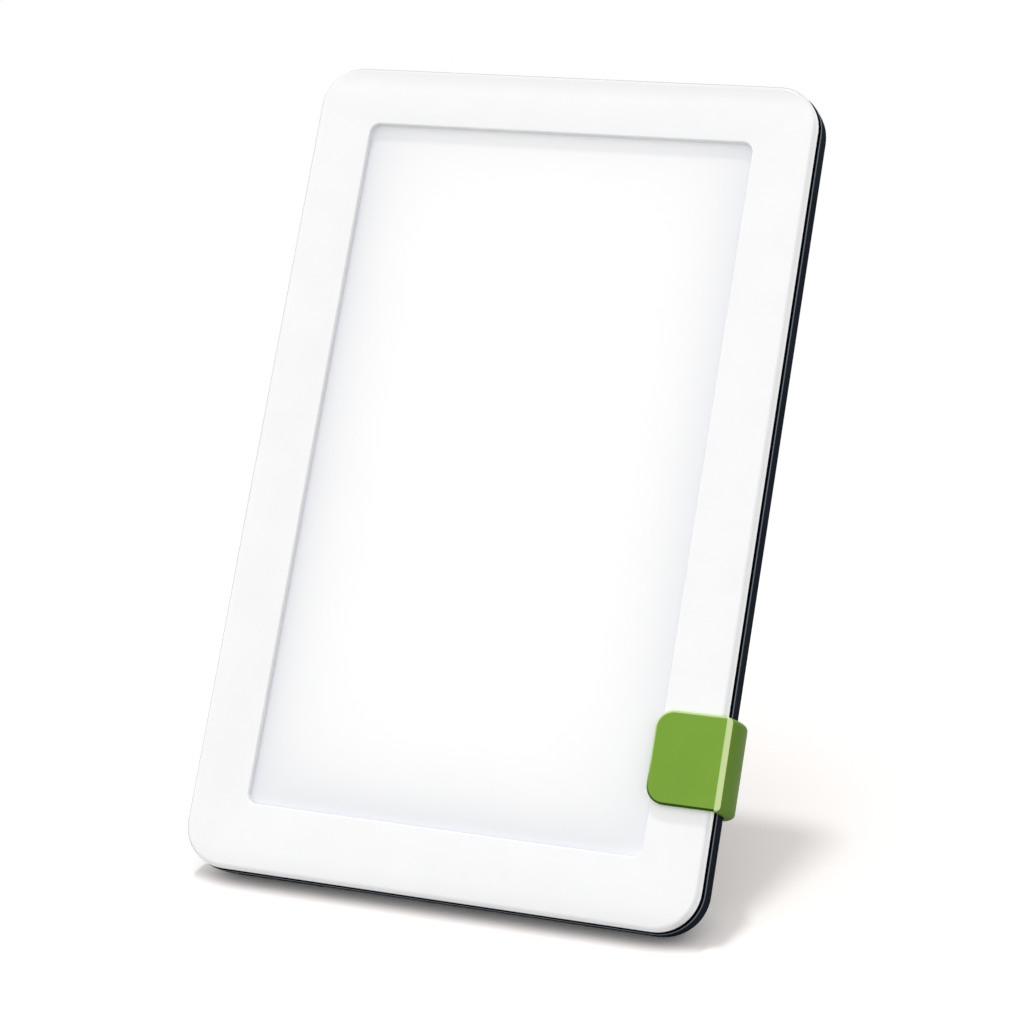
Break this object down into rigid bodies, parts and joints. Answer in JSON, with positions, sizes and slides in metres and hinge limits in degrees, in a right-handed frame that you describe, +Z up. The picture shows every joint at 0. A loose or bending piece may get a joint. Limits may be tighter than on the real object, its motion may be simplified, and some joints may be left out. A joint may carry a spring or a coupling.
{
  "type": "light therapy lamp",
  "caption": "Slim upright light panel with a white front frame and dark rear shell, leaning back on a green clip-on stand with a folding leg.",
  "frame": {"origin": "middle of the footprint of the lamp standing open on a desk, on the desk", "axes": "+Z up; the lit panel faces -Y and leans back; +X is to the right of someone who looks at the panel, the side that the clip is on"},
  "size_m": [0.1532, 0.124, 0.2143],
  "materials": {
    "white_gloss_plastic": "smooth gloss",
    "opal_panel": "satin opal, lit from behind",
    "clear_film": "fine prismatic film",
    "clear_acrylic": "polished acrylic with printed dots",
    "white_film": "matt white film",
    "aluminium_sheet": "rolled sheet",
    "strip_board": "white solder mask",
    "led_resin": "phosphor resin in a white package",
    "green_board": "green solder mask with copper tracks",
    "lead_sleeve": "soft black sleeve",
    "black_component": "moulded epoxy and nylon",
    "cream_plug": "natural nylon",
    "plated_contact": "nickel plated",
    "dark_shell_plastic": "blue-black gloss",
    "grey_button_plastic": "satin",
    "zinc_steel": "zinc plated, brushed pin",
    "green_plastic": "satin moulded green",
    "black_rubber": "matt rubber",
    "nylon": "natural nylon"
  },
  "bodies": {
    "lamp_head": {"front_frame": "white_gloss_plastic", "diffuser_panel": "opal_panel", "prism_sheet": "clear_film", "light_guide_plate": "clear_acrylic", "reflector_sheet": "white_film", "chassis_plate": "aluminium_sheet", "driver_capacitors": "aluminium_sheet", "led_strip_left": "strip_board", "led_strip_right": "strip_board", "led_row_left": "led_resin", "led_row_right": "led_resin", "driver_board": "green_board", "led_lead_left": "lead_sleeve", "led_lead_right": "lead_sleeve", "driver_inductor": "black_component", "driver_chips": "black_component", "power_jack": "black_component", "tact_switch": "black_component", "led_plug": "cream_plug", "power_jack_contact": "plated_contact", "rear_shell": "dark_shell_plastic", "case_screws": "zinc_steel", "chassis_screws": "zinc_steel", "board_screws": "zinc_steel", "bottom_foot_left": "black_rubber", "bottom_foot_right": "black_rubber"},
    "button": {"power_button": "grey_button_plastic", "switch_plunger": "grey_button_plastic"},
    "stand": {"stand_clip": "green_plastic", "grip_pad_front": "black_rubber", "grip_pad_rear": "black_rubber", "hinge_pin": "zinc_steel", "hinge_washers": "nylon"},
    "leg": {"stand_leg": "green_plastic", "leg_foot": "black_rubber"}
  },
  "joints": [
    {"name": "button_push", "type": "slide", "parent": "lamp_head", "child": "button", "axis": [0, -0.8829, 0.4695], "range_m": [0, 0.0007], "stiffness_N_per_m": 2000, "springref_m": -0.0004},
    {"name": "clip_slide", "type": "slide", "parent": "lamp_head", "child": "stand", "axis": [1, 0, 0], "range_m": [0, 0.02]},
    {"name": "leg_hinge", "type": "hinge", "parent": "stand", "child": "leg", "pos_m": [-0.00163, 0.00377, 0.07679], "axis": [-1, 0, 0], "range_deg": [0, 56]}
  ]
}
